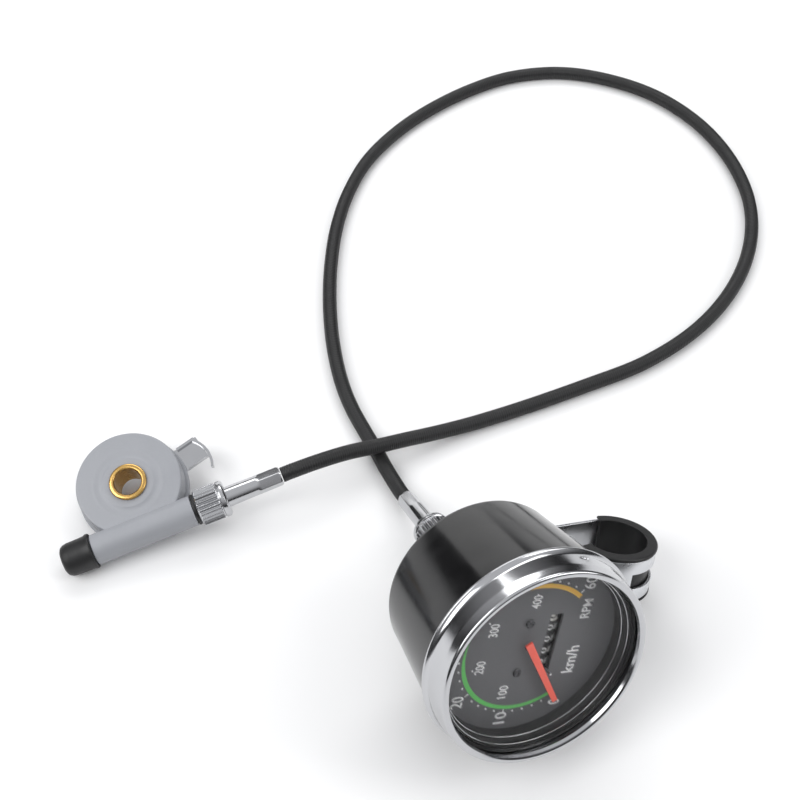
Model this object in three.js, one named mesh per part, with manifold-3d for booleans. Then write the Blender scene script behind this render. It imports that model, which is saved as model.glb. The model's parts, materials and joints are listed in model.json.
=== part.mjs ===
// A mechanical bicycle speedometer: a gauge head with its handlebar clamp, a wheel drive unit
// that slips over the axle, and the flexible cable that joins them.
// Millimetres, +Z up. Everything lies on the plane z = 0, below the middle of the whole object.
import * as THREE from 'three';
import { mergeVertices } from 'three/addons/utils/BufferGeometryUtils.js';
import Module from 'manifold-3d';

const wasm = await Module();
wasm.setup();

// ---- Driving dimensions ---------------------------------------------------------------------
const GAP = 0.3; // clearance kept wherever two pieces touch
const ROUND = 30; // sides of a large turned piece
const SMALL = 14; // sides of a small turned piece
const TAU = 2 * Math.PI;
const radians = THREE.MathUtils.degToRad;

// Gauge head, measured along its own axis from the back of the casing (0) to its face.
const gauge = {
  depth: 50.5,
  backRadius: 32,
  frontRadius: 35.9,
  lipRadius: 37.3,
  lipZ: 39,
  casingTop: 45,
  dialZ: 38.5,
  dialRadius: 32.3,
  dialThickness: 0.8,
  postX: 19,
  postY: 8,
  pillarX: 9.2,
  pillarY: 2,
};

// The pointer sweeps clockwise; angles are measured clockwise from six o'clock.
const pointerRest = radians(55.6);

// Odometer: five number wheels behind a window below the dial's centre.
const odometer = {
  wheels: 5,
  radius: 4.4,
  width: 4.4,
  z: 32.2,
  rightEnd: 12,
  windowHeight: 4.6,
};

// Single-start worms and 13-tooth wheels step the cable's turns down to the number wheels.
const worm = { module: 0.7, starts: 1, wheelTeeth: 13, pitchRadius: 3, length: 6, wheelWidth: 4 };
const wormHelix = Math.acos(worm.starts * worm.module / (2 * worm.pitchRadius));
const wormWheelRadius = worm.wheelTeeth * worm.module / (2 * Math.sin(wormHelix));
const wormCentres = worm.pitchRadius + wormWheelRadius;
const crossShaftZ = 10;
const layShaft = { x: 15, y: -2 * wormCentres };

// Handlebar clamp, set out from the gauge's axis along the bracket.
const clamp = {
  barRadius: 11.1,
  linerWall: 2.2,
  bandWall: 1.1,
  bandWidth: 16,
  slotWidth: 6,
  reach: 54.3,
  centreZ: 2.1,
  screwReach: 31,
  earReach: 25,
  clock: radians(6),
};
const bandRadius = clamp.barRadius + clamp.linerWall + GAP; // inside of the metal band
const plateBack = -5.2; // back face of the mounting bracket

// Wheel drive unit, measured from the centre of its flat face; the tube runs along x.
const drive = {
  discRadius: 19.65,
  discDepth: 9,
  cavityRadius: 16.9,
  frontWall: 1.2,
  bossRadius: 9.6,
  rotorRadius: 20.9,
  rotorFront: -9.5,
  rotorBack: -11.5,
  hubRadius: 9.2,
  hubFront: -1.6,
  boreRadius: 5,
  bushRadius: 6,
  flangeRadius: 6.95,
  tubeY: -18.4,
  tubeZ: -3.4,
  tubeRadius: 5.8,
  tubeLeft: -19.7,
  tubeRight: 18.6,
  tubeBore: 4.5,
  spigotRadius: 4.9,
  spigotLength: 7.6,
  rivetX: 17,
  rivetY: 3,
  forkBack: -13.2,
  forkClock: radians(14),
};

// Crossed helical gears in the drive unit: 20 teeth on the rotor turn the 4 of the pinion.
const driveGear = { rotorTeeth: 20, pinionTeeth: 4, module: 1.084, width: 3.6, pinionLength: 12 };

// Screwed coupling at each end of the cable, measured from the end face of its spigot.
const coupling = {
  nutRadius: 7,
  nutStart: -6,
  nutEnd: 5.5,
  knurls: 26,
  bore: 5.3,
  neckBore: 4.25,
  ferruleStart: 0.3,
  ferruleEnd: 26.8,
  ferruleRadius: 3.9,
  crimpRadius: 3.35,
  flangeRadius: 4.9,
  keyHalf: 0.8,
  socketHalf: 1.1,
  shaftRadius: 2.1,
  shaftEnd: -0.8,
};
const gaugeSpigotEnd = -29;

// Where the two ends stand and how they lean.
const gaugeSeat = {
  x: 61.63, y: -45.76, z: 49.77, heading: radians(-63.9), lean: radians(66.2), roll: radians(156.8),
};
const driveSeat = {
  x: -83.78, y: 42.35, z: 16.95, heading: radians(21.9), pitch: radians(-6.5), roll: radians(13.7),
};

// The cable's centre line on the ground plane, from the gauge's ferrule to the drive unit's.
const cableRadius = 3;
const cableSteps = 58;
const cableSides = 10;
const cableRoute = [
  [18.72, 41.83, 6.76], [17.1, 45.1, 5.2], [14.3, 51.1, 3.7], [10.7, 58.4, 3.15], [6.9, 66.6, 3.1],
  [2.5, 75.2, 3.1],
  [-2.7, 86.2, 3.1], [-6.9, 98.2, 3.1], [-10.1, 112.2, 3.1], [-12.3, 127.2, 3.1], [-13.6, 145.2, 3.1],
  [-13.6, 164.2, 3.1], [-11.9, 185.2, 3.1], [-7.3, 207.2, 3.1], [1.3, 229.2, 3.1], [14.8, 248.7, 3.1],
  [31.3, 265.2, 3.1], [51.3, 279.7, 3.1], [72.3, 289.7, 3.1], [96.3, 293, 3.1], [119.3, 288, 3.1],
  [141.3, 276.2, 3.1], [158.8, 257.7, 3.1], [170.3, 235.2, 3.1], [175.8, 210.2, 3.1], [174.8, 187.2, 3.1],
  [167.8, 164.2, 3.1], [155.3, 142.7, 3.1], [138.3, 124.2, 3.1], [116.8, 108.8, 3.1], [92.3, 97.4, 3.1],
  [66.3, 86.4, 3.15], [46.3, 78.4, 3.9], [31.3, 72.4, 5.8], [19.3, 67.7, 8], [8.3, 63.2, 10.1],
  [-3, 58.4, 12.9], [-13.5, 53, 15.2], [-23.04, 48.38, 15.9], [-27.47, 46.6, 15.37],
];

// ---- Geometry helpers -----------------------------------------------------------------------
// Merges shared vertices, drops slivers on a turning axis and turns the faces outward.
function closed(geometry) {
  const bare = geometry.clone();
  bare.deleteAttribute('normal');
  bare.deleteAttribute('uv');
  const merged = mergeVertices(bare, 1e-4);
  const source = merged.index.array;
  const point = (i) => new THREE.Vector3().fromBufferAttribute(merged.attributes.position, i);
  const kept = [];
  let volume = 0;
  for (let i = 0; i < source.length; i += 3) {
    const [a, b, c] = [source[i], source[i + 1], source[i + 2]];
    if (a === b || b === c || c === a) continue;
    kept.push(a, b, c);
    volume += point(a).dot(point(b).cross(point(c)));
  }
  merged.setIndex(volume < 0 ? kept.reverse() : kept);
  return merged;
}

function toSolid(geometry) {
  const mesh = closed(geometry);
  return new wasm.Manifold(new wasm.Mesh({
    numProp: 3,
    vertProperties: new Float32Array(mesh.attributes.position.array),
    triVerts: new Uint32Array(mesh.index.array),
  }));
}

function fromSolid(solid) {
  const mesh = solid.getMesh();
  const geometry = new THREE.BufferGeometry();
  geometry.setAttribute('position', new THREE.BufferAttribute(mesh.vertProperties, 3));
  geometry.setIndex(new THREE.BufferAttribute(mesh.triVerts, 1));
  return geometry;
}

const join = (...parts) => fromSolid(parts.map(toSolid).reduce((a, b) => a.add(b)));
const cut = (body, ...tools) => fromSolid(tools.map(toSolid).reduce((a, b) => a.subtract(b), toSolid(body)));

// A solid of revolution about z from [radius, z] pairs that start and end on the axis.
function turned(profile, sides = SMALL) {
  const points = profile.map(([r, z]) => new THREE.Vector2(r, z));
  return closed(new THREE.LatheGeometry(points, sides).rotateX(Math.PI / 2));
}

// A ring of revolution: the [radius, z] pairs close on themselves.
const turnedRing = (profile, sides = SMALL) => turned([...profile, profile[0]], sides);
const rod = (radius, from, to, sides = SMALL) => turned([[0, from], [radius, from], [radius, to], [0, to]], sides);
const sleeve = (inner, outer, from, to, sides = SMALL) =>
  turnedRing([[inner, from], [outer, from], [outer, to], [inner, to]], sides);

// A flat outline with holes, given thickness from one height to another.
function slab(shape, from, to, curveSegments = 12) {
  const options = { depth: to - from, bevelEnabled: false, curveSegments };
  return closed(new THREE.ExtrudeGeometry(shape, options).translate(0, 0, from));
}

function block(x0, x1, y0, y1, z0, z1) {
  const box = new THREE.BoxGeometry(x1 - x0, y1 - y0, z1 - z0);
  return closed(box.translate((x0 + x1) / 2, (y0 + y1) / 2, (z0 + z1) / 2));
}

function circleShape(radius) {
  const shape = new THREE.Shape();
  shape.absarc(0, 0, radius, 0, TAU, false);
  return shape;
}

function circleHole(x, y, radius) {
  const hole = new THREE.Path();
  hole.absarc(x, y, radius, 0, TAU, true);
  return hole;
}

const onCircle = (radius, angle) => new THREE.Vector2(radius * Math.cos(angle), radius * Math.sin(angle));

// A regular polygon with its first corner on +x.
function polygon(radius, sides) {
  const corners = Array.from({ length: sides }, (_, i) => onCircle(radius, i * TAU / sides));
  return new THREE.Shape(corners);
}

// Turns geometry whose axis is z so that its axis is x.
const alongX = (geometry) => geometry.rotateY(Math.PI / 2);

// A gear with straight-sided teeth about z, mid-plane at 0; a worm is one with very few teeth.
// A tooth points along the angle toothAt at the mid-plane.
function gearWheel({ teeth, module, helix, width, bore = 0, toothAt = 0, steps = 1 }) {
  const addendum = 0.75 * module;
  const dedendum = 1.1 * module;
  const pitchRadius = teeth * module / (2 * Math.cos(helix));
  const pitch = TAU / teeth;
  const tipHalf = 0.11 * pitch;
  const rootHalf = 0.28 * pitch;
  const arcStep = radians(55);
  const outline = [];
  const arc = (radius, from, to) => {
    const count = Math.max(1, Math.ceil((to - from) / arcStep));
    for (let i = 0; i <= count; i += 1) {
      const angle = from + (to - from) * i / count;
      outline.push(onCircle(radius, angle));
    }
  };
  for (let tooth = 0; tooth < teeth; tooth += 1) {
    const centre = toothAt + tooth * pitch;
    arc(pitchRadius + addendum, centre - tipHalf, centre + tipHalf);
    arc(pitchRadius - dedendum, centre + rootHalf, centre + pitch - rootHalf);
  }
  const shape = new THREE.Shape(outline);
  if (bore > 0) shape.holes.push(circleHole(0, 0, bore));
  const options = { depth: width, steps, bevelEnabled: false, curveSegments: 10 };
  const geometry = new THREE.ExtrudeGeometry(shape, options);
  geometry.translate(0, 0, -width / 2);
  const position = geometry.attributes.position;
  const twist = Math.tan(helix) / pitchRadius;
  const spin = new THREE.Vector3();
  for (let i = 0; i < position.count; i += 1) {
    spin.fromBufferAttribute(position, i);
    spin.applyAxisAngle(new THREE.Vector3(0, 0, 1), twist * spin.z);
    position.setXYZ(i, spin.x, spin.y, spin.z);
  }
  return closed(geometry);
}

// ---- Scene helpers --------------------------------------------------------------------------
const finishes = {
  blackGloss: { color: 0x0b0b0c, roughness: 0.15, metalness: 0 },
  chrome: { color: 0xd8dadd, roughness: 0.12, metalness: 1 },
  steel: { color: 0xb4b7bb, roughness: 0.35, metalness: 1 },
  darkSteel: { color: 0x4a4c50, roughness: 0.45, metalness: 1 },
  brass: { color: 0xb58b45, roughness: 0.3, metalness: 1 },
  aluminium: { color: 0xc9cbce, roughness: 0.4, metalness: 1 },
  greyPlastic: { color: 0xa0a2a8, roughness: 0.5, metalness: 0 },
  whiteNylon: { color: 0xe6e4dc, roughness: 0.5, metalness: 0 },
  blackPlastic: { color: 0x1a1a1c, roughness: 0.5, metalness: 0 },
  dialGrey: { color: 0x5a5a5d, roughness: 0.6, metalness: 0 },
  needleOrange: { color: 0xff5f46, roughness: 0.5, metalness: 0 },
  rubber: { color: 0x1c1c1c, roughness: 0.85, metalness: 0 },
  clear: { color: 0xf4f6f8, roughness: 0.05, metalness: 0, transparent: true, opacity: 0.25 },
};

function piece(name, geometry, finish) {
  const mesh = new THREE.Mesh(geometry, new THREE.MeshStandardMaterial(finishes[finish]));
  mesh.name = name;
  return mesh;
}

// ---- Gauge head: case, lens and dial --------------------------------------------------------
const casing = () => turnedRing([
  [6.8, 0], [29.5, 0], [31.3, 0.7], [gauge.backRadius, 2.5], [gauge.frontRadius, 38.7], [34.3, 38.7],
  [34.3, gauge.casingTop], [33, gauge.casingTop], [33, 37], [30.4, 1.8], [6.8, 1.8],
], ROUND);

const bezelRing = () => turnedRing([
  [34.6, gauge.lipZ], [37, gauge.lipZ], [gauge.lipRadius, 39.4], [gauge.lipRadius, 40.1], [36.4, 40.8],
  [35.9, 46.8], [35.5, 49.6], [34.7, gauge.depth], [33.2, gauge.depth], [32.9, 49.2], [34.6, 49.2],
], ROUND);

const dialRing = () => turnedRing([
  [32.7, 38.8], [32.7, 45.9], [32.4, 45.9], [32.3, 45.2], [31.8, 45], [31.6, 42.6], [31.1, 42.4], [31, 38.8],
], ROUND);

function dialPlate() {
  const shape = circleShape(gauge.dialRadius);
  const [left, right] = [odometer.rightEnd - odometer.wheels * odometer.width, odometer.rightEnd];
  const [low, high] = [-wormCentres - odometer.windowHeight / 2, -wormCentres + odometer.windowHeight / 2];
  const corners = [[left, low], [left, high], [right, high], [right, low]];
  shape.holes.push(new THREE.Path(corners.map(([x, y]) => new THREE.Vector2(x, y))));
  shape.holes.push(circleHole(0, 0, 1.2));
  shape.holes.push(circleHole(-gauge.pillarX, gauge.pillarY, 1));
  shape.holes.push(circleHole(gauge.pillarX, gauge.pillarY, 1));
  return slab(shape, gauge.dialZ - gauge.dialThickness, gauge.dialZ);
}

function dialScrew(x) {
  const head = [[0, 38.8], [1.5, 38.8], [1.3, 39.4], [0, 39.4]];
  return join(turned(head), rod(0.7, 34, 39)).translate(x, gauge.pillarY, 0);
}

const dialPillar = (x) => sleeve(1, 1.7, 26.5, 37.4).translate(x, gauge.pillarY, 0);

// The flat, blunt-ended needle, drawn along +x and turned to its rest.
function pointer() {
  const [tail, tip, tailHalf, tipHalf] = [-4.2, 24.6, 1.3, 0.9];
  const outline = [[tail, -tailHalf], [tip, -tipHalf], [tip, tipHalf], [tail, tailHalf]];
  const shape = new THREE.Shape(outline.map(([x, y]) => new THREE.Vector2(x, y)));
  return slab(shape, 40.8, 41.5).rotateZ(-Math.PI / 2 - pointerRest);
}

// The pin that stops the needle at zero stands just below it on the dial.
function stopPin() {
  const [along, aside] = [12, 2.1];
  const pin = rod(0.4, gauge.dialZ + GAP, 42, 12);
  return pin.translate(along, aside, 0).rotateZ(-Math.PI / 2 - pointerRest);
}

// ---- Gauge head: eddy-current movement ------------------------------------------------------
const spindleTop = 21.2;
const cupTop = 22.6;

function basePlate() {
  const shape = circleShape(24);
  shape.holes.push(circleHole(0, 0, 3.4));
  shape.holes.push(circleHole(layShaft.x, layShaft.y, 1.5));
  const posts = [-gauge.postX, gauge.postX].map((x) => rod(2, 3.5, 24.7).translate(x, gauge.postY, 0));
  return join(slab(shape, 2.6, 4.2), ...posts);
}

function bridgePlate() {
  const [half, top, bottom] = [22, 11, -19];
  const corners = [[-half, -10], [-half, top], [half, top], [half, bottom], [8, bottom], [-10, -12]];
  const shape = new THREE.Shape(corners.map(([x, y]) => new THREE.Vector2(x, y)));
  const [bottomFace, topFace] = [25, 26.2];
  const centreHole = rod(1, bottomFace - 1, topFace + 1);
  const layHole = rod(1.5, bottomFace - 1, topFace + 1).translate(layShaft.x, layShaft.y, 0);
  return cut(slab(shape, bottomFace, topFace), centreHole, layHole);
}

// A shaft with a square socket in its end, which the cable's key drops into.
function socketShaft(from, end) {
  const { shaftRadius, socketHalf: half } = coupling;
  const depth = 6;
  return cut(rod(shaftRadius, from, end), block(-half, half, -half, half, end - depth, end + 1));
}

const wormBody = (length) => gearWheel({
  teeth: worm.starts, module: worm.module, helix: wormHelix, width: length, steps: 16, toothAt: Math.PI / 2,
});

const wormWheel = (toothAt) => gearWheel({
  teeth: worm.wheelTeeth, module: worm.module, helix: Math.PI / 2 - wormHelix, width: worm.wheelWidth,
  bore: 1.4, toothAt,
});

// The cable turns this spindle: worm low down, magnet at the top.
function inputSpindle() {
  const shaft = socketShaft(-spindleTop, 28.2).rotateX(Math.PI);
  const thread = wormBody(worm.length).translate(0, 0, crossShaftZ);
  return join(shaft, thread);
}

const magnet = () => sleeve(2.4, 9.3, 16.8, 20.8, 24);
const dragCup = () => turnedRing([
  [0.9, 22], [10.4, 22], [10.4, 16.4], [11, 16.4], [11, cupTop], [0.9, cupTop],
], 24);
const pointerSpindle = () => rod(0.6, spindleTop + GAP, 40.5, 10);

class Spiral extends THREE.Curve {
  getPoint(t, target = new THREE.Vector3()) {
    const [turns, inner, outer] = [3, 1.4, 6];
    const radius = inner + (outer - inner) * t;
    return target.set(radius * Math.cos(t * turns * TAU), radius * Math.sin(t * turns * TAU), 23.7);
  }
}

function hairspring() {
  const [height, width] = [0.4, 0.12];
  const corners = [[-height, -width], [height, -width], [height, width], [-height, width]];
  const shape = new THREE.Shape(corners.map(([x, y]) => new THREE.Vector2(x, y)));
  return closed(new THREE.ExtrudeGeometry(shape, { extrudePath: new Spiral(), steps: 48, bevelEnabled: false }));
}

// ---- Gauge head: odometer -------------------------------------------------------------------
const crossWormX = layShaft.x;

function crossShaft() {
  const thread = wormBody(worm.length).translate(0, 0, crossWormX);
  return alongX(join(rod(1.1, -7, 21.5), thread)).translate(0, -wormCentres, crossShaftZ);
}

const crossWheel = () => alongX(wormWheel(Math.PI / 2)).translate(0, -wormCentres, crossShaftZ);

function layShaftBody() {
  const thread = wormBody(worm.length).translate(0, 0, odometer.z);
  return join(rod(1.1, 3, 36.9), thread).translate(layShaft.x, layShaft.y, 0);
}

const layWheel = () => wormWheel(Math.PI / 2).translate(layShaft.x, layShaft.y, crossShaftZ);

function numberGear() {
  const toothGap = -Math.PI / 2 + Math.PI / worm.wheelTeeth;
  return alongX(wormWheel(toothGap)).translate(layShaft.x, -wormCentres, odometer.z);
}

function numberWheel(place) {
  const right = odometer.rightEnd - place * odometer.width;
  const wheel = sleeve(1.2, odometer.radius, right - odometer.width + GAP, right, 24);
  return alongX(wheel).translate(0, -wormCentres, odometer.z);
}

const odometerShaft = () => alongX(rod(0.9, -13, 19.5, 12)).translate(0, -wormCentres, odometer.z);

// An upright cheek with one hole, in which a shaft along x turns.
function cheek(x, thickness, bottom, top, holeZ, holeRadius) {
  const halfWidth = 2.9;
  const plate = block(x, x + thickness, -wormCentres - halfWidth, -wormCentres + halfWidth, bottom, top);
  const drill = alongX(rod(holeRadius, x - 1, x + thickness + 1, 16)).translate(0, -wormCentres, holeZ);
  return cut(plate, drill);
}

// ---- Gauge head: back, bracket and handlebar clamp ------------------------------------------
const rearConnector = () => turnedRing([
  [2.5, gaugeSpigotEnd], [coupling.flangeRadius, gaugeSpigotEnd], [coupling.flangeRadius, -20], [6, -20],
  [6, -3.3], [11, -3.3], [11, -GAP], [6.5, -GAP], [6.5, 2.2], [2.5, 2.2],
], 24);

function bracketPlate() {
  const [half, end, corner] = [8, 36.5, 3];
  const shape = new THREE.Shape();
  shape.moveTo(-half, -6);
  shape.lineTo(-half, -end + corner);
  shape.lineTo(-half + corner, -end);
  shape.lineTo(half - corner, -end);
  shape.lineTo(half, -end + corner);
  shape.lineTo(half, -6);
  shape.absarc(0, 0, 10, Math.atan2(-6, half), Math.atan2(-6, -half) + TAU, false);
  shape.holes.push(circleHole(0, 0, 6.3));
  shape.holes.push(circleHole(0, -clamp.screwReach, 2.3));
  return slab(shape, plateBack, -3.6);
}

function hexNut(radius, bore, from, to) {
  const shape = polygon(radius, 6);
  shape.holes.push(circleHole(0, 0, bore));
  return slab(shape, from, to);
}

// Clamp outlines are drawn with x away from the gauge's axis and y forward, then stood up.
function acrossClamp(shape, width, curveSegments = 18) {
  const stand = new THREE.Matrix4().makeBasis(
    new THREE.Vector3(0, -1, 0), new THREE.Vector3(0, 0, 1), new THREE.Vector3(-1, 0, 0),
  );
  return slab(shape, -width / 2, width / 2, curveSegments).applyMatrix4(stand);
}

const halfBand = clamp.bandWall / 2;
const bandMiddle = bandRadius + halfBand;
const rearEarZ = clamp.centreZ - bandMiddle;
const frontEarZ = plateBack - GAP - halfBand;

function clampBand() {
  const [near, away] = [clamp.reach - bandMiddle, clamp.reach];
  const shape = new THREE.Shape();
  shape.moveTo(clamp.earReach, rearEarZ - halfBand);
  shape.lineTo(away, rearEarZ - halfBand);
  shape.absarc(away, clamp.centreZ, bandMiddle + halfBand, -Math.PI / 2, Math.PI, false);
  shape.lineTo(near - halfBand, frontEarZ + halfBand);
  shape.lineTo(clamp.earReach, frontEarZ + halfBand);
  shape.lineTo(clamp.earReach, frontEarZ - halfBand);
  shape.lineTo(near + halfBand, frontEarZ - halfBand);
  shape.lineTo(near + halfBand, clamp.centreZ);
  shape.absarc(away, clamp.centreZ, bandMiddle - halfBand, Math.PI, -Math.PI / 2, true);
  shape.lineTo(clamp.earReach, rearEarZ + halfBand);
  const band = acrossClamp(shape, clamp.bandWidth);
  const opening = sector(bandRadius - 1, bandRadius + 3, radians(-40), radians(95));
  const slot = acrossClamp(opening, clamp.slotWidth);
  const drill = rod(2.3, -20, 0, 16).translate(0, -clamp.screwReach, 0);
  return cut(band, slot, drill);
}

// Part of a ring round the handlebar, between two angles.
function sector(inner, outer, from, to) {
  const shape = new THREE.Shape();
  shape.absarc(clamp.reach, clamp.centreZ, outer, from, to, false);
  shape.absarc(clamp.reach, clamp.centreZ, inner, to, from, true);
  return shape;
}

function clampLiner() {
  const [from, to] = [radians(-84), radians(174)];
  const [lip, lipRadius] = [1.2, 14.9];
  const lipPlace = clamp.bandWidth / 2 + GAP + lip / 2;
  const lining = sector(clamp.barRadius, bandRadius - GAP, from, to);
  const strip = acrossClamp(lining, clamp.bandWidth + 2 * GAP + lip);
  const lipRing = sector(clamp.barRadius, lipRadius, from, to);
  const lips = [-lipPlace, lipPlace].map((x) => acrossClamp(lipRing, lip).translate(x, 0, 0));
  return join(strip, ...lips);
}

function clampScrew() {
  const head = rearEarZ - halfBand - GAP;
  const body = turned([
    [0, head - 2.4], [3, head - 2.4], [3.6, head - 1.6], [3.6, head], [2, head], [2, -1], [0, -1],
  ]);
  const slot = block(-4, 4, -0.5, 0.5, head - 4, head - 1.5);
  return cut(body, slot).translate(0, -clamp.screwReach, 0);
}

const clampNut = () => hexNut(3.9, 2.3, -3.3, -0.8).translate(0, -clamp.screwReach, 0);

// ---- Cable couplings ------------------------------------------------------------------------
// Each coupling is drawn with its axis along z, away from the face of the spigot at 0.
function couplingNut() {
  const { nutRadius, nutStart, nutEnd, knurls, bore, neckBore } = coupling;
  const [collar, shoulder, knurlDepth] = [3, 2.4, 0.6];
  const points = Array.from({ length: 2 * knurls }, (_, i) => (
    onCircle(i % 2 ? nutRadius : nutRadius - knurlDepth, i * Math.PI / knurls)
  ));
  const plain = turned([
    [0, collar], [nutRadius, collar], [nutRadius, nutEnd - 0.6], [nutRadius - 0.8, nutEnd], [0, nutEnd],
  ], knurls);
  const outside = join(slab(new THREE.Shape(points), nutStart, collar + 0.1), plain);
  return cut(outside, rod(bore, nutStart - 1, shoulder), rod(neckBore, 0, nutEnd + 1));
}

const ferrule = () => turnedRing([
  [2.2, coupling.ferruleStart], [coupling.flangeRadius, coupling.ferruleStart],
  [coupling.flangeRadius, 1.9], [coupling.ferruleRadius, 1.9],
  [coupling.crimpRadius, coupling.ferruleEnd], [2.2, coupling.ferruleEnd],
]);

function coreKey() {
  const { keyHalf } = coupling;
  return block(-keyHalf, keyHalf, -keyHalf, keyHalf, -6.4, 12);
}

function couplingGroup(prefix) {
  const group = new THREE.Group();
  group.add(piece(`${prefix}_coupling_nut`, couplingNut(), 'chrome'));
  group.add(piece(`${prefix}_ferrule`, ferrule(), 'aluminium'));
  group.add(piece(`${prefix}_core_key`, coreKey(), 'steel'));
  return group;
}

// ---- Wheel drive unit -----------------------------------------------------------------------
const onTube = (geometry) => alongX(geometry).translate(0, drive.tubeY, drive.tubeZ);

function driveHousing() {
  const { discRadius, discDepth, bossRadius, tubeLeft, tubeRight, spigotLength: spigot } = drive;
  const disc = turned([[0, -discDepth], [discRadius, -discDepth], [discRadius, -0.5], [discRadius - 0.5, 0],
    [bossRadius, 0], [bossRadius, 0.5], [0, 0.5]], ROUND);
  const tube = onTube(turned([[0, tubeLeft - spigot], [drive.spigotRadius, tubeLeft - spigot],
    [drive.spigotRadius, tubeLeft], [drive.tubeRadius, tubeLeft], [drive.tubeRadius, tubeRight],
    [drive.spigotRadius, tubeRight], [drive.spigotRadius, tubeRight + spigot], [0, tubeRight + spigot]], 28));
  const cavity = rod(drive.cavityRadius, -discDepth - 1, -drive.frontWall, ROUND);
  const bushHole = rod(drive.bushRadius + GAP, -discDepth, 2, 24);
  const tubeBore = onTube(rod(drive.tubeBore, -17, 17));
  const rightBore = onTube(rod(2.5, 16, tubeRight + spigot + 1));
  const leftBore = onTube(rod(3.5, tubeLeft - spigot - 1, -16));
  return cut(join(disc, tube), cavity, bushHole, tubeBore, rightBore, leftBore);
}

const axleBush = () => turnedRing([
  [drive.boreRadius, 1.6], [drive.flangeRadius - 0.4, 1.6], [drive.flangeRadius, 1.2], [drive.flangeRadius, 0.8],
  [drive.bushRadius, 0.8], [drive.bushRadius, -11.8], [drive.boreRadius, -11.8],
], 32);

function rotor() {
  const { rotorRadius, rotorFront, rotorBack, hubRadius, hubFront, bushRadius, rivetX, rivetY } = drive;
  const body = turnedRing([[bushRadius + GAP, rotorBack], [rotorRadius, rotorBack], [rotorRadius, rotorFront],
    [hubRadius, rotorFront], [hubRadius, hubFront], [bushRadius + GAP, hubFront]], ROUND);
  const drills = [-rivetY, rivetY].map((y) => (
    rod(1.3, rotorBack - 1, rotorFront + 1, 12).translate(rivetX, y, 0).rotateZ(drive.forkClock)
  ));
  return cut(body, ...drills);
}

const rotorGear = () => gearWheel({
  teeth: driveGear.rotorTeeth, module: driveGear.module, helix: Math.PI / 4, width: driveGear.width,
  bore: drive.hubRadius + 0.6, toothAt: -Math.PI / 2 + Math.PI / driveGear.rotorTeeth, steps: 2,
}).translate(0, 0, drive.tubeZ);

function pinion() {
  const teeth = gearWheel({
    teeth: driveGear.pinionTeeth, module: driveGear.module, helix: Math.PI / 4, width: driveGear.pinionLength,
    toothAt: Math.PI, steps: 12,
  });
  const [left, right] = [-13.5, driveGear.pinionLength / 2 - 0.5];
  const shaftEnd = drive.tubeRight + drive.spigotLength + coupling.shaftEnd;
  return onTube(join(teeth, rod(coupling.shaftRadius, left, -right), socketShaft(right, shaftEnd)));
}

const pinionBearing = (from) => onTube(sleeve(coupling.shaftRadius + GAP, drive.tubeBore - GAP, from, from + 6));

function tubeWasher() {
  const { spigotRadius, tubeRight } = drive;
  return onTube(sleeve(spigotRadius + GAP, 5.9, tubeRight + GAP, tubeRight + 1.3, 24));
}

function endCap() {
  const [mouth, inside, end] = [drive.tubeLeft - GAP, drive.tubeLeft - drive.spigotLength - GAP, -31.8];
  const bore = drive.spigotRadius + GAP;
  return onTube(turned([
    [0, inside], [bore, inside], [bore, mouth], [6.7, mouth], [6.7, mouth - 1.4], [6.3, mouth - 1.8],
    [6, end + 2.6], [5.2, end + 0.8], [3.6, end], [0, end],
  ], 24));
}

// The sprung fork that a spoke drops into: a tongue, a low channel and a curved blade at its end.
// It turns with the rotor, so it stays low enough to pass under the coupling nut.
const forkTop = drive.tubeZ - coupling.nutRadius - GAP;

function spokeFork() {
  const { forkBack: back, rivetX, rivetY } = drive;
  const [root, inner, outer, halfWidth, wall] = [14, 21.6, 30.2, 4.8, 1];
  const blade = { x: 19, y: -3, radius: 12.3, from: radians(-33), to: radians(38) };
  const tongue = block(root, outer, -halfWidth, halfWidth, back, drive.rotorBack - GAP);
  const walls = [-halfWidth, halfWidth - wall].map((y) => block(inner, outer - wall, y, y + wall, back, forkTop));
  const curve = new THREE.Shape();
  curve.absarc(blade.x, blade.y, blade.radius, blade.from, blade.to, false);
  curve.absarc(blade.x, blade.y, blade.radius - wall, blade.to, blade.from, true);
  const drills = [-rivetY, rivetY].map((y) => rod(1.3, back - 1, -10, 12).translate(rivetX, y, 0));
  return cut(join(tongue, ...walls, slab(curve, back, forkTop)), ...drills).rotateZ(drive.forkClock);
}

function forkRivet(y) {
  const head = drive.forkBack - GAP;
  const body = turned([
    [0, head - 0.9], [1.3, head - 0.9], [1.8, head - 0.4], [1.8, head], [1, head], [1, -9.8], [0, -9.8],
  ], 12);
  return body.translate(drive.rivetX, y, 0).rotateZ(drive.forkClock);
}

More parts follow.
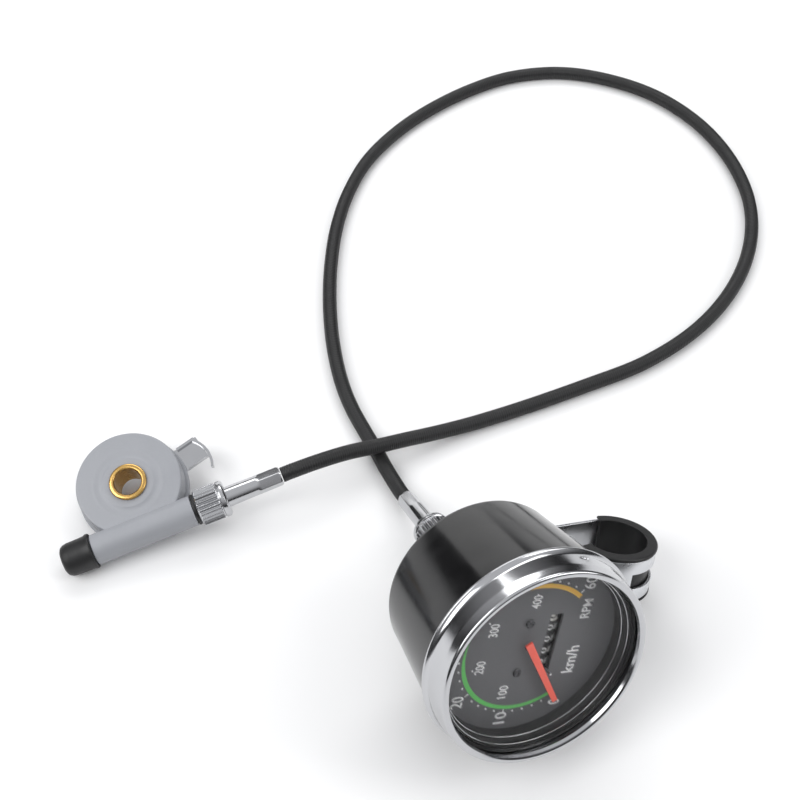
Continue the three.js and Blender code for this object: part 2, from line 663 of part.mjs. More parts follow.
// ---- Assembly -------------------------------------------------------------------------------
function gaugeMovement() {
  const group = new THREE.Group();
  group.add(piece('movement_base', basePlate(), 'brass'));
  group.add(piece('movement_bridge', bridgePlate(), 'brass'));
  group.add(piece('dial_pillar_left', dialPillar(-gauge.pillarX), 'brass'));
  group.add(piece('dial_pillar_right', dialPillar(gauge.pillarX), 'brass'));
  group.add(piece('input_spindle', inputSpindle(), 'steel'));
  group.add(piece('magnet', magnet(), 'darkSteel'));
  group.add(piece('drag_cup', dragCup(), 'aluminium'));
  group.add(piece('pointer_spindle', pointerSpindle(), 'steel'));
  group.add(piece('hairspring', hairspring(), 'brass'));
  group.add(piece('cross_shaft', crossShaft(), 'steel'));
  group.add(piece('cross_wheel', crossWheel(), 'brass'));
  group.add(piece('cross_cheek_left', cheek(-6.4, 1.2, 4.5, 13, crossShaftZ, 1.4), 'brass'));
  group.add(piece('cross_cheek_right', cheek(20.4, 1.2, 4.5, 13, crossShaftZ, 1.4), 'brass'));
  group.add(piece('lay_shaft', layShaftBody(), 'steel'));
  group.add(piece('lay_wheel', layWheel(), 'brass'));
  group.add(piece('odometer_shaft', odometerShaft(), 'steel'));
  group.add(piece('odometer_gear', numberGear(), 'whiteNylon'));
  for (let place = 0; place < odometer.wheels; place += 1) {
    const finish = place === 0 ? 'whiteNylon' : 'blackPlastic';
    group.add(piece(`number_wheel_${place + 1}`, numberWheel(place), finish));
  }
  group.add(piece('odometer_cheek_left', cheek(-12.4, 1.2, 26.5, 36.8, odometer.z, 1.2), 'brass'));
  group.add(piece('odometer_cheek_right', cheek(17.9, 1.2, 26.5, 36.8, odometer.z, 1.2), 'brass'));
  return group;
}

function gaugeFace() {
  const group = new THREE.Group();
  group.add(piece('casing', casing(), 'blackGloss'));
  group.add(piece('bezel_ring', bezelRing(), 'chrome'));
  group.add(piece('lens', rod(34.2, 46.4, 48.9, ROUND), 'clear'));
  group.add(piece('lens_gasket', sleeve(33, 34.2, gauge.casingTop + GAP, 46.1, ROUND), 'rubber'));
  group.add(piece('dial_ring', dialRing(), 'blackPlastic'));
  group.add(piece('dial_plate', dialPlate(), 'dialGrey'));
  group.add(piece('dial_screw_left', dialScrew(-gauge.pillarX), 'darkSteel'));
  group.add(piece('dial_screw_right', dialScrew(gauge.pillarX), 'darkSteel'));
  group.add(piece('pointer', pointer(), 'needleOrange'));
  group.add(piece('pointer_stop', stopPin(), 'steel'));
  return group;
}

function handlebarClamp() {
  const group = new THREE.Group();
  group.add(piece('mounting_bracket', bracketPlate(), 'steel'));
  group.add(piece('clamp_band', clampBand(), 'aluminium'));
  group.add(piece('clamp_liner', clampLiner(), 'rubber'));
  group.add(piece('clamp_screw', clampScrew(), 'steel'));
  group.add(piece('clamp_nut', clampNut(), 'steel'));
  group.rotation.z = clamp.clock;
  return group;
}

// The flexible cable's outer sheath, lying where its route says.
function cableSheath() {
  const points = cableRoute.map(([x, y, z]) => new THREE.Vector3(x, y, z));
  const extrudePath = new THREE.CatmullRomCurve3(points);
  const options = { extrudePath, steps: cableSteps, bevelEnabled: false };
  return closed(new THREE.ExtrudeGeometry(polygon(cableRadius, cableSides), options));
}

function gaugeHead() {
  const upright = new THREE.Group();
  upright.add(gaugeFace(), gaugeMovement(), handlebarClamp());
  upright.add(piece('rear_connector', rearConnector(), 'aluminium'));
  upright.add(piece('bracket_nut', hexNut(10.5, 6.3, -8.5, -5.5), 'steel'));
  const tail = couplingGroup('gauge');
  tail.rotation.x = Math.PI;
  tail.position.z = gaugeSpigotEnd;
  upright.add(tail);
  upright.rotation.z = gaugeSeat.roll;
  upright.position.z = -gauge.depth;
  const leaning = new THREE.Group().add(upright);
  leaning.rotation.set(0, gaugeSeat.lean, gaugeSeat.heading, 'ZYX');
  leaning.position.set(gaugeSeat.x, gaugeSeat.y, gaugeSeat.z);
  return leaning;
}

function driveUnit() {
  const group = new THREE.Group();
  group.add(piece('drive_housing', driveHousing(), 'greyPlastic'));
  group.add(piece('axle_bush', axleBush(), 'brass'));
  group.add(piece('rotor', rotor(), 'greyPlastic'));
  group.add(piece('rotor_gear', rotorGear(), 'whiteNylon'));
  group.add(piece('spoke_fork', spokeFork(), 'chrome'));
  group.add(piece('fork_rivet_left', forkRivet(drive.rivetY), 'steel'));
  group.add(piece('fork_rivet_right', forkRivet(-drive.rivetY), 'steel'));
  group.add(piece('pinion', pinion(), 'steel'));
  group.add(piece('pinion_bearing_left', pinionBearing(-14), 'brass'));
  group.add(piece('pinion_bearing_right', pinionBearing(8), 'brass'));
  group.add(piece('tube_washer', tubeWasher(), 'rubber'));
  group.add(piece('end_cap', endCap(), 'rubber'));
  const tail = couplingGroup('drive');
  tail.rotation.y = Math.PI / 2;
  tail.position.set(drive.tubeRight + drive.spigotLength, drive.tubeY, drive.tubeZ);
  group.add(tail);
  group.rotation.set(driveSeat.roll, driveSeat.pitch, driveSeat.heading, 'ZYX');
  group.position.set(driveSeat.x, driveSeat.y, driveSeat.z);
  return group;
}

const speedometer = new THREE.Group();
speedometer.add(gaugeHead(), driveUnit(), piece('cable_sheath', cableSheath(), 'rubber'));

export default speedometer;
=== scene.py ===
# %% [markdown]
# # A bicycle speedometer with its cable and wheel drive
# The design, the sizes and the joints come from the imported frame. This lesson gives each visible
# piece its fine mesh and its finish: a black case with a chrome bezel, a printed dial, a ribbed
# cable, and a grey drive unit with a brass bush. Every length below is in millimetres until a
# piece is put in place, which turns it into metres.

# %% Load the frame
import json
import math

import bmesh
import bpy
from mathutils import Matrix, Vector


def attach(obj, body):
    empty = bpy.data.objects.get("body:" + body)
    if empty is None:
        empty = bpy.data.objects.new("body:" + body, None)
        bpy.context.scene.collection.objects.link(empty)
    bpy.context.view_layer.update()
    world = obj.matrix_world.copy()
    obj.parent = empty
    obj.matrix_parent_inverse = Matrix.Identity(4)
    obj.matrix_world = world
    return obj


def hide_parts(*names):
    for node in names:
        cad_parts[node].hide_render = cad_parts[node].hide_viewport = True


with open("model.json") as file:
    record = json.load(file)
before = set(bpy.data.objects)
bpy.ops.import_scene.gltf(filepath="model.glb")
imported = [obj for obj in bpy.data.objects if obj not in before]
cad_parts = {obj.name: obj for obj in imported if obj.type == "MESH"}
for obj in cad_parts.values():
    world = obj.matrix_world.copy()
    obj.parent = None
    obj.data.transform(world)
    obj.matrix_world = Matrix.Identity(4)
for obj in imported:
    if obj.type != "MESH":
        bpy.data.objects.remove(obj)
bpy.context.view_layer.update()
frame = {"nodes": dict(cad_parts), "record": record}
record = frame["record"]
MM = 0.001
TAU = 2 * math.pi
print("nodes loaded:", len(frame["nodes"]))

# %% [markdown]
# The camera looks down at the floor from a stand, as a product is often shown. A 54 mm lens keeps
# the perspective of the dial natural. It is made first, with the cable, because the cable's loop
# decides how much room the picture needs.

# %% Camera
CAMERA_PLACE = (16.6, -193.6, 393.6)
CAMERA_TILT = 36
camera_data = bpy.data.cameras.new("camera")
camera_data.lens = 54
camera_data.sensor_width = 36
camera = bpy.data.objects.new("camera", camera_data)
camera.location = Vector(CAMERA_PLACE) * MM
camera.rotation_euler = (math.radians(CAMERA_TILT), 0, 0)
bpy.context.scene.collection.objects.link(camera)
bpy.context.scene.camera = camera
print("camera is", round(CAMERA_PLACE[2]), "mm above the floor")

# %% [markdown]
# ## The cable
# A speedometer cable is a steel inner core in a wound sheath with a ribbed black skin. It is stiff,
# so it lies in one wide loop and rises a little over its own first stretch. The route is the same
# list of points as in the design. A smooth line is drawn through them, and the ribs are made by
# letting the radius swell and shrink at a steady pitch. The curve's bevel is one metre deep and
# each point scales it, so a point's radius is simply the cable's true radius there.

# %% Cable route
CABLE_DIAMETER = 6.1
CABLE_ROUTE = [
    (18.72, 41.83, 6.76), (17.1, 45.1, 5.2), (14.3, 51.1, 3.7), (10.7, 58.4, 3.15), (6.9, 66.6, 3.1),
    (2.5, 75.2, 3.1), (-2.7, 86.2, 3.1), (-6.9, 98.2, 3.1), (-10.1, 112.2, 3.1), (-12.3, 127.2, 3.1),
    (-13.6, 145.2, 3.1), (-13.6, 164.2, 3.1), (-11.9, 185.2, 3.1), (-7.3, 207.2, 3.1), (1.3, 229.2, 3.1),
    (14.8, 248.7, 3.1), (31.3, 265.2, 3.1), (51.3, 279.7, 3.1), (72.3, 289.7, 3.1), (96.3, 293, 3.1),
    (119.3, 288, 3.1), (141.3, 276.2, 3.1), (158.8, 257.7, 3.1), (170.3, 235.2, 3.1), (175.8, 210.2, 3.1),
    (174.8, 187.2, 3.1), (167.8, 164.2, 3.1), (155.3, 142.7, 3.1), (138.3, 124.2, 3.1), (116.8, 108.8, 3.1),
    (92.3, 97.4, 3.1), (66.3, 86.4, 3.15), (46.3, 78.4, 3.9), (31.3, 72.4, 5.8), (19.3, 67.7, 8),
    (8.3, 63.2, 10.1), (-3, 58.4, 12.9), (-13.5, 53, 15.2), (-23.04, 48.38, 15.9), (-27.47, 46.6, 15.37),
]


def smooth_line(points, spacing):
    """A Catmull-Rom line through the points, cut into steps of about one spacing."""
    points = [Vector(p) for p in points]
    ends = [2 * points[0] - points[1], *points, 2 * points[-1] - points[-2]]
    line = []
    for before, start, end, after in zip(ends, ends[1:], ends[2:], ends[3:]):
        count = max(2, round((end - start).length / spacing))
        for i in range(count):
            t = i / count
            pull = (end - before) * t + (2 * before - 5 * start + 4 * end - after) * t * t
            line.append(start + 0.5 * (pull + (3 * (start - end) + after - before) * t ** 3))
    return line + [points[-1]]


# %% Cable piece
RIB_PITCH = 0.9
RIB_STEPS = 4
RIB_DEPTH = 0.06
cable_line = smooth_line(CABLE_ROUTE, RIB_PITCH / RIB_STEPS)
cable_curve = bpy.data.curves.new("ribbed_cable", "CURVE")
cable_curve.dimensions = "3D"
cable_curve.bevel_depth = 1
cable_curve.bevel_resolution = 2
cable_curve.use_fill_caps = True
spline = cable_curve.splines.new("POLY")
spline.points.add(len(cable_line) - 1)
for i, (spot, centre) in enumerate(zip(spline.points, cable_line)):
    spot.co = (*(centre * MM), 1)
    swell = 1 - RIB_DEPTH * (0.5 + 0.5 * math.cos(TAU * i / RIB_STEPS))
    spot.radius = CABLE_DIAMETER / 2 * MM * swell
ribbed_cable = bpy.data.objects.new("ribbed_cable", cable_curve)
bpy.context.scene.collection.objects.link(ribbed_cable)
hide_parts("cable_sheath")
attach(ribbed_cable, "base")

# %% [markdown]
# ## Working frames
# The gauge, the clamp and the drive unit all lean at odd angles, so each is modelled upright in
# its own local frame and put in place by one matrix. The joints of the design give those frames:
# a joint's axis is a true direction of the mechanism, so nothing has to be measured again.

# %% Frames from the joints
joints = {j["name"]: j for j in record["behaviour"]["joints"]}


def local_frame(origin, x_axis, z_axis):
    """The matrix that takes local millimetres to the object's metres."""
    z = z_axis.normalized()
    x = (x_axis - x_axis.dot(z) * z).normalized()
    turn = Matrix((x, z.cross(x), z)).transposed().to_4x4()
    return Matrix.Translation(origin) @ turn @ Matrix.Scale(MM, 4)


def joint_line(name):
    return Vector(joints[name]["pos_m"]), Vector(joints[name]["axis"])


POINTER_JOINT_Z = 30
ROTOR_JOINT_Z = -5
SCREW_JOINT_Z = -8
pointer_spot, pointer_axis = joint_line("pointer_sweep")
gauge_spot = pointer_spot + pointer_axis * POINTER_JOINT_Z * MM
gauge = local_frame(gauge_spot, joint_line("cross_shaft_spin")[1], -pointer_axis)
rotor_spot, rotor_axis = joint_line("rotor_spin")
drive_spot = rotor_spot - rotor_axis * ROTOR_JOINT_Z * MM
drive = local_frame(drive_spot, joint_line("pinion_spin")[1], rotor_axis)
screw_spot, screw_axis = joint_line("clamp_screw_turn")
gauge_origin = gauge.translation
clamp_y = gauge_origin + screw_axis * SCREW_JOINT_Z * MM - screw_spot
clamp = local_frame(gauge_origin, clamp_y.cross(screw_axis), screw_axis)
print("clamp screw stands", round(clamp_y.length / MM, 2), "mm from the gauge's axis")

# %% [markdown]
# ## Finishes
# Every finish is one Principled shader fed by a shared node group. The group makes three things
# that vary over the surface: a colour that drifts between two close tones, a roughness that
# wanders in a range, and a fine grain for the bump. It reads Object coordinates, so a pattern
# stays fixed to its piece. A second group scatters small specks, for dust on gloss and for the
# flake in moulded grey.

# %% Shared node groups
def socket(tree, name, kind, side="INPUT", value=None):
    made = tree.interface.new_socket(name=name, in_out=side, socket_type=kind)
    if value is not None:
        made.default_value = value


def build_surface_group():
    """Two tones, a wandering roughness and a grain height from two sizes of noise."""
    tree = bpy.data.node_groups.new("surface_drift", "ShaderNodeTree")
    socket(tree, "Vector", "NodeSocketVector")
    socket(tree, "Tone A", "NodeSocketColor", value=(0.5, 0.5, 0.5, 1))
    socket(tree, "Tone B", "NodeSocketColor", value=(0.6, 0.6, 0.6, 1))
    socket(tree, "Patch Scale", "NodeSocketFloat", value=120.0)
    socket(tree, "Grain Scale", "NodeSocketFloat", value=2500.0)
    socket(tree, "Rough Low", "NodeSocketFloat", value=0.3)
    socket(tree, "Rough High", "NodeSocketFloat", value=0.4)
    socket(tree, "Color", "NodeSocketColor", "OUTPUT")
    socket(tree, "Roughness", "NodeSocketFloat", "OUTPUT")
    socket(tree, "Height", "NodeSocketFloat", "OUTPUT")
    nodes, links = tree.nodes, tree.links
    source = nodes.new("NodeGroupInput")
    result = nodes.new("NodeGroupOutput")
    patch = nodes.new("ShaderNodeTexNoise")
    patch.inputs["Detail"].default_value = 4
    grain = nodes.new("ShaderNodeTexNoise")
    grain.inputs["Detail"].default_value = 2
    tones = nodes.new("ShaderNodeMix")
    tones.data_type = "RGBA"
    rough = nodes.new("ShaderNodeMapRange")
    rough.inputs["From Min"].default_value = 0.3
    rough.inputs["From Max"].default_value = 0.7
    for texture, scale in ((patch, "Patch Scale"), (grain, "Grain Scale")):
        links.new(source.outputs["Vector"], texture.inputs["Vector"])
        links.new(source.outputs[scale], texture.inputs["Scale"])
    links.new(patch.outputs["Fac"], tones.inputs["Factor"])
    links.new(source.outputs["Tone A"], tones.inputs[6])
    links.new(source.outputs["Tone B"], tones.inputs[7])
    links.new(patch.outputs["Fac"], rough.inputs["Value"])
    links.new(source.outputs["Rough Low"], rough.inputs["To Min"])
    links.new(source.outputs["Rough High"], rough.inputs["To Max"])
    links.new(tones.outputs[2], result.inputs["Color"])
    links.new(rough.outputs["Result"], result.inputs["Roughness"])
    links.new(grain.outputs["Fac"], result.inputs["Height"])
    return tree


def build_speck_group():
    """Small scattered specks, for dust on gloss and flake in moulded grey."""
    tree = bpy.data.node_groups.new("fine_specks", "ShaderNodeTree")
    socket(tree, "Vector", "NodeSocketVector")
    socket(tree, "Scale", "NodeSocketFloat", value=900.0)
    socket(tree, "Size", "NodeSocketFloat", value=0.12)
    socket(tree, "Base", "NodeSocketColor", value=(0.5, 0.5, 0.5, 1))
    socket(tree, "Speck", "NodeSocketColor", value=(0.8, 0.8, 0.8, 1))
    socket(tree, "Color", "NodeSocketColor", "OUTPUT")
    socket(tree, "Mask", "NodeSocketFloat", "OUTPUT")
    nodes, links = tree.nodes, tree.links
    source = nodes.new("NodeGroupInput")
    result = nodes.new("NodeGroupOutput")
    cells = nodes.new("ShaderNodeTexVoronoi")
    near = nodes.new("ShaderNodeMath")
    near.operation = "LESS_THAN"
    paint = nodes.new("ShaderNodeMix")
    paint.data_type = "RGBA"
    links.new(source.outputs["Vector"], cells.inputs["Vector"])
    links.new(source.outputs["Scale"], cells.inputs["Scale"])
    links.new(cells.outputs["Distance"], near.inputs[0])
    links.new(source.outputs["Size"], near.inputs[1])
    links.new(near.outputs[0], paint.inputs["Factor"])
    links.new(source.outputs["Base"], paint.inputs[6])
    links.new(source.outputs["Speck"], paint.inputs[7])
    links.new(paint.outputs[2], result.inputs["Color"])
    links.new(near.outputs[0], result.inputs["Mask"])
    return tree


surface_group = build_surface_group()
speck_group = build_speck_group()
print("node groups:", surface_group.name, speck_group.name)


# %% Material builder
def group_node(material, tree):
    node = material.node_tree.nodes.new("ShaderNodeGroup")
    node.node_tree = tree
    return node


def make_finish(name, tone, drift=0.12, rough=(0.3, 0.4), metallic=0.0, patch=120, grain=2500, bump=0.1,
                depth=0.02, coat=0.0, specks=None):
    """One finish. tone is a linear colour, drift is how far the second tone strays from it."""
    material = bpy.data.materials.new(name)
    material.use_nodes = True
    nodes, links = material.node_tree.nodes, material.node_tree.links
    shader = nodes["Principled BSDF"]
    coordinates = nodes.new("ShaderNodeTexCoord")
    surface = group_node(material, surface_group)
    links.new(coordinates.outputs["Object"], surface.inputs["Vector"])
    surface.inputs["Tone A"].default_value = (*[c * (1 - drift) for c in tone], 1)
    surface.inputs["Tone B"].default_value = (*[min(1, c * (1 + drift)) for c in tone], 1)
    surface.inputs["Patch Scale"].default_value = patch
    surface.inputs["Grain Scale"].default_value = grain
    surface.inputs["Rough Low"].default_value = rough[0]
    surface.inputs["Rough High"].default_value = rough[1]
    colour = surface.outputs["Color"]
    if specks:
        speck = group_node(material, speck_group)
        links.new(coordinates.outputs["Object"], speck.inputs["Vector"])
        links.new(colour, speck.inputs["Base"])
        speck.inputs["Speck"].default_value = (*specks["tone"], 1)
        speck.inputs["Scale"].default_value = specks["scale"]
        speck.inputs["Size"].default_value = specks["size"]
        colour = speck.outputs["Color"]
    relief = nodes.new("ShaderNodeBump")
    relief.inputs["Strength"].default_value = bump
    relief.inputs["Distance"].default_value = depth * MM
    links.new(surface.outputs["Height"], relief.inputs["Height"])
    links.new(colour, shader.inputs["Base Color"])
    links.new(surface.outputs["Roughness"], shader.inputs["Roughness"])
    links.new(relief.outputs["Normal"], shader.inputs["Normal"])
    shader.inputs["Metallic"].default_value = metallic
    shader.inputs["Coat Weight"].default_value = coat
    return material


# %% [markdown]
# The finishes are named after the record's material slots. Blacks are kept apart by their
# roughness: the case is glossy, the inner ring satin, the rubber dull. The clear lens is thin, so
# it lets most light straight through and keeps a light reflection.

# %% The finishes
finishes = {
    "case_black": make_finish(
        "case_black", (0.006, 0.006, 0.0065), rough=(0.12, 0.2), bump=0.04, coat=0.05,
        specks={"tone": (0.05, 0.05, 0.052), "scale": 420, "size": 0.025}),
    "chrome_trim": make_finish(
        "chrome_trim", (0.53, 0.535, 0.55), drift=0.03, rough=(0.1, 0.2), metallic=1, patch=90,
        bump=0.03),
    "black_rubber": make_finish(
        "black_rubber", (0.008, 0.008, 0.0085), rough=(0.4, 0.55), grain=5200, bump=0.3, patch=160),
    "black_plastic": make_finish("black_plastic", (0.013, 0.013, 0.014), rough=(0.32, 0.44), bump=0.03),
    "dial_grey": make_finish(
        "dial_grey", (0.125, 0.125, 0.132), drift=0.06, rough=(0.5, 0.62), grain=6000, bump=0.12),
    "needle_orange": make_finish(
        "needle_orange", (1.0, 0.13, 0.085), drift=0.05, rough=(0.38, 0.48), bump=0.08),
    "dark_steel": make_finish(
        "dark_steel", (0.09, 0.09, 0.095), rough=(0.3, 0.45), metallic=1, bump=0.1),
    "zinc_steel": make_finish(
        "zinc_steel", (0.62, 0.63, 0.65), drift=0.1, rough=(0.22, 0.4), metallic=1, patch=260,
        bump=0.1),
    "movement_brass": make_finish(
        "movement_brass", (0.62, 0.39, 0.13), drift=0.14, rough=(0.18, 0.34), metallic=1, patch=220,
        bump=0.12),
    "satin_aluminium": make_finish(
        "satin_aluminium", (0.68, 0.69, 0.71), drift=0.06, rough=(0.24, 0.36), metallic=1,
        patch=150, grain=3600, bump=0.16),
    "grey_plastic": make_finish(
        "grey_plastic", (0.33, 0.34, 0.365), drift=0.05, rough=(0.36, 0.46), grain=3800, bump=0.12,
        specks={"tone": (0.43, 0.44, 0.47), "scale": 2600, "size": 0.16}),
    "white_nylon": make_finish("white_nylon", (0.78, 0.77, 0.72), drift=0.04, rough=(0.4, 0.5)),
    "print_white": make_finish(
        "print_white", (0.93, 0.93, 0.93), drift=0.04, rough=(0.5, 0.6), patch=900),
    "print_green": make_finish(
        "print_green", (0.13, 0.6, 0.13), drift=0.05, rough=(0.5, 0.6), patch=900),
    "print_amber": make_finish(
        "print_amber", (0.95, 0.56, 0.09), drift=0.05, rough=(0.5, 0.6), patch=900),
}
print("finishes:", len(finishes))


# %% Clear lens finish
def make_lens_finish():
    material = make_finish("clear_lens", (0.99, 0.995, 0.995), drift=0.005, rough=(0.0, 0.006), bump=0.002)
    shader = material.node_tree.nodes["Principled BSDF"]
    shader.inputs["Transmission Weight"].default_value = 1
    shader.inputs["IOR"].default_value = 1.02
    shader.inputs["Coat Weight"].default_value = 1
    shader.inputs["Coat Roughness"].default_value = 0.02
    shader.inputs["Alpha"].default_value = 0.2
    return material


finishes["clear_lens"] = make_lens_finish()
ribbed_cable.data.materials.append(finishes["black_rubber"])

# %% [markdown]
# ## Helpers for pieces
# Most of the object is turned on a lathe, so the commonest helper spins a profile round the local
# z axis. Another lofts a ring through stations whose outline may be fluted or six-sided, for nuts
# and crimps. Both end in the same step, which puts the mesh in place, rounds its edges with a
# Bevel modifier, parents the piece to the body it rides on, and hides the design parts it stands for.

# %% Placing and finishing
SPIN_STEPS = 112
node_body = {node: body for body, nodes in record["behaviour"]["bodies"].items() for node in nodes}
node_slot = {part["node"]: part["material_slot"] for part in record["subparts"]}


def finish_piece(name, bm, place, nodes, finish=None, body=None, slot=None, bevel=0.15, segments=2,
                 recalc=True):
    """Turns a bmesh in local millimetres into a finished piece of the object."""
    if recalc:
        bmesh.ops.remove_doubles(bm, verts=bm.verts, dist=1e-4)
        bmesh.ops.dissolve_degenerate(bm, edges=bm.edges, dist=1e-5)
        bmesh.ops.recalc_face_normals(bm, faces=bm.faces)
    bm.transform(place)
    mesh = bpy.data.meshes.new(name)
    bm.to_mesh(mesh)
    bm.free()
    mesh.polygons.foreach_set("use_smooth", [True] * len(mesh.polygons))
    piece = bpy.data.objects.new(name, mesh)
    bpy.context.scene.collection.objects.link(piece)
    slot = slot or node_slot[nodes[0]]
    mesh.materials.append(finishes[finish or slot])
    if bevel:
        rounding = piece.modifiers.new("rounding", "BEVEL")
        rounding.width = bevel * MM
        rounding.segments = segments
        rounding.limit_method = "ANGLE"
        rounding.angle_limit = math.radians(30)
    shading = piece.modifiers.new("shading", "WEIGHTED_NORMAL")
    shading.keep_sharp = True
    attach(piece, body or node_body[nodes[0]])
    if nodes:
        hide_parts(*nodes)
    return piece


# %% Turned pieces
def spin_profile(profile, closed=True, angle=TAU, steps=SPIN_STEPS):
    """Spins (radius, z) pairs round the z axis. An open profile starts and ends on the axis."""
    bm = bmesh.new()
    verts = [bm.verts.new((r, 0, z)) for r, z in profile]
    edges = [bm.edges.new(pair) for pair in zip(verts, verts[1:])]
    if closed:
        edges.append(bm.edges.new((verts[-1], verts[0])))
    full = abs(angle - TAU) < 1e-6
    bmesh.ops.spin(bm, geom=verts + edges, cent=(0, 0, 0), axis=(0, 0, 1), angle=angle, steps=steps,
                   use_merge=full)
    return bm


def along_x(bm):
    """Turns a bmesh whose axis is z so that its axis is x."""
    bmesh.ops.rotate(bm, verts=bm.verts, cent=(0, 0, 0), matrix=Matrix.Rotation(math.pi / 2, 3, "Y"))
    return bm


def moved(bm, x=0, y=0, z=0):
    bmesh.ops.translate(bm, verts=bm.verts, vec=(x, y, z))
    return bm


def turned(bm, angle):
    """Turns a bmesh about the z axis by an angle in radians."""
    bmesh.ops.rotate(bm, verts=bm.verts, cent=(0, 0, 0), matrix=Matrix.Rotation(angle, 3, "Z"))
    return bm


# %% Lofted rings
def loft(stations, segments):
    """A closed ring through (z, outline) stations. An outline gives the radius at an angle."""
    bm = bmesh.new()
    bmesh.ops.create_circle(bm, cap_ends=False, segments=segments, radius=1)
    ring = sorted(bm.verts, key=lambda v: math.atan2(v.co.y, v.co.x))
    angles = [math.atan2(v.co.y, v.co.x) for v in ring]
    edges = list(bm.edges)

    def shape(verts, z, outline):
        for vert, angle in zip(verts, angles):
            radius = outline(angle)
            vert.co = (radius * math.cos(angle), radius * math.sin(angle), z)

    shape(ring, *stations[0])
    for station in stations[1:]:
        made = bmesh.ops.extrude_edge_only(bm, edges=edges)["geom"]
        edges = [item for item in made if isinstance(item, bmesh.types.BMEdge) and item.is_boundary]
        fresh = [item for item in made if isinstance(item, bmesh.types.BMVert)]
        ring = sorted(fresh, key=lambda v: math.atan2(v.co.y, v.co.x))
        shape(ring, *station)
    bmesh.ops.bridge_loops(bm, edges=[e for e in bm.edges if e.is_boundary])
    return bm


def round_outline(radius):
    return lambda angle: radius


def fluted(radius, depth, count):
    return lambda angle: radius - depth * (0.5 - 0.5 * math.cos(count * angle)) ** 0.7


def faceted(radius, sides, blend=1.0):
    """A circle pressed towards a regular polygon of the same flats."""
    half = math.pi / sides

    def outline(angle):
        across = math.cos(half) / math.cos((angle % (2 * half)) - half)
        return radius * (1 + blend * (across - 1))

    return outline


# %% Carving and copying
def carve(piece, cutter_bm, place):
    """Cuts a shape in local millimetres out of a piece and removes the cutter."""
    bmesh.ops.recalc_face_normals(cutter_bm, faces=cutter_bm.faces)
    cutter_bm.transform(place)
    mesh = bpy.data.meshes.new("cutter")
    cutter_bm.to_mesh(mesh)
    cutter_bm.free()
    cutter = bpy.data.objects.new("cutter", mesh)
    bpy.context.scene.collection.objects.link(cutter)
    shown = [(m, m.show_viewport) for m in piece.modifiers]
    for m, _ in shown:
        m.show_viewport = False
    cut = piece.modifiers.new("cut", "BOOLEAN")
    cut.operation = "DIFFERENCE"
    cut.solver = "EXACT"
    cut.object = cutter
    bpy.context.view_layer.update()
    graph = bpy.context.evaluated_depsgraph_get()
    result = bpy.data.meshes.new_from_object(piece.evaluated_get(graph))
    piece.modifiers.remove(cut)
    piece.data = result
    for m, state in shown:
        m.show_viewport = state
    bpy.data.objects.remove(cutter)
    return piece


def refine_node(node, bevel):
    """A merged copy of a design part with its edges rounded."""
    bm = bmesh.new()
    bm.from_mesh(frame["nodes"][node].data)
    bmesh.ops.remove_doubles(bm, verts=bm.verts, dist=1e-6)
    bmesh.ops.dissolve_limit(bm, angle_limit=math.radians(1), verts=bm.verts, edges=bm.edges)
    in_place = Matrix.Identity(4)
    return finish_piece(f"{node}_finished", bm, in_place, [node], bevel=bevel, recalc=False)


# %% [markdown]
# ## Gauge case, bezel and lens
# The case is a deep black cup that widens a little to the front. The chrome bezel is rolled over
# its rim: a wide skirt, a bead at the back and a slim bright lip that holds the lens. Fine rounded
# steps in the profile give chrome its thin lines of light.

# %% Case
case_profile = [
    (6.8, 0), (28.5, 0), (30.4, 0.25), (31.5, 1.1), (32, 2.6), (32.6, 9), (35.9, 38.7), (34.3, 38.7),
    (34.3, 45), (33, 45), (33, 37), (30.4, 1.8), (6.8, 1.8),
]
finish_piece("case_shell", spin_profile(case_profile), gauge, ["casing"], bevel=0.2, segments=3)
print("case is", max(r for r, z in case_profile) * 2, "mm across")


# %% Bezel
def arc(centre_r, centre_z, radius, start, stop, count=6):
    """Profile points on an arc, with angles in degrees from the outward direction."""
    turns = [math.radians(start + (stop - start) * i / count) for i in range(count + 1)]
    return [(centre_r + radius * math.cos(t), centre_z + radius * math.sin(t)) for t in turns]


bezel_profile = [
    (34.6, 39), *arc(36.65, 39.65, 0.65, -90, 75), (36.25, 41.1), (36.15, 42), (35.95, 46.3), (35.85, 47.1),
    (35.6, 48.6), *arc(34.55, 49.55, 0.95, 0, 90), (33.9, 50.45), (33.3, 50.1), (32.9, 49.2), (34.6, 49.2),
]
bezel = finish_piece("bezel_shell", spin_profile(bezel_profile, steps=160), gauge, ["bezel_ring"], bevel=0.08)
print("bezel profile points:", len(bezel_profile))

# %% [markdown]
# The bezel's skirt has one small oval notch where it was crimped. The cutter is a short capsule: a
# sphere drawn out along the rim. The cut is shallow, so the skirt's wall stays whole.

# %% Crimp notch
NOTCH_ANGLE = -11
notch = bmesh.new()
bmesh.ops.create_uvsphere(notch, u_segments=20, v_segments=10, radius=1)
bmesh.ops.scale(notch, verts=notch.verts, vec=(0.7, 2.2, 0.75))
moved(notch, x=36.2, z=43.4)
turned(notch, math.radians(NOTCH_ANGLE))
carve(bezel, notch, gauge)
print("bezel faces:", len(bezel.data.polygons))

# %% Lens and its gasket
lens_profile = [(0, 46.4), (34.2, 46.4), (34.2, 48.7), (30, 48.85), (20, 48.9), (0, 48.9)]
finish_piece("lens_clear", spin_profile(lens_profile, closed=False), gauge, ["lens"], bevel=0.1)
gasket_profile = [(33, 45.3), (34.2, 45.3), (34.2, 46.1), (33, 46.1)]
finish_piece("lens_gasket_ring", spin_profile(gasket_profile), gauge, ["lens_gasket"], bevel=0.1)

# %% [markdown]
# Between the lens and the dial a satin black ring steps down in three tiers. Two thin bright beads
# lie on its steps. They are what catches the light round the foot of the dial.

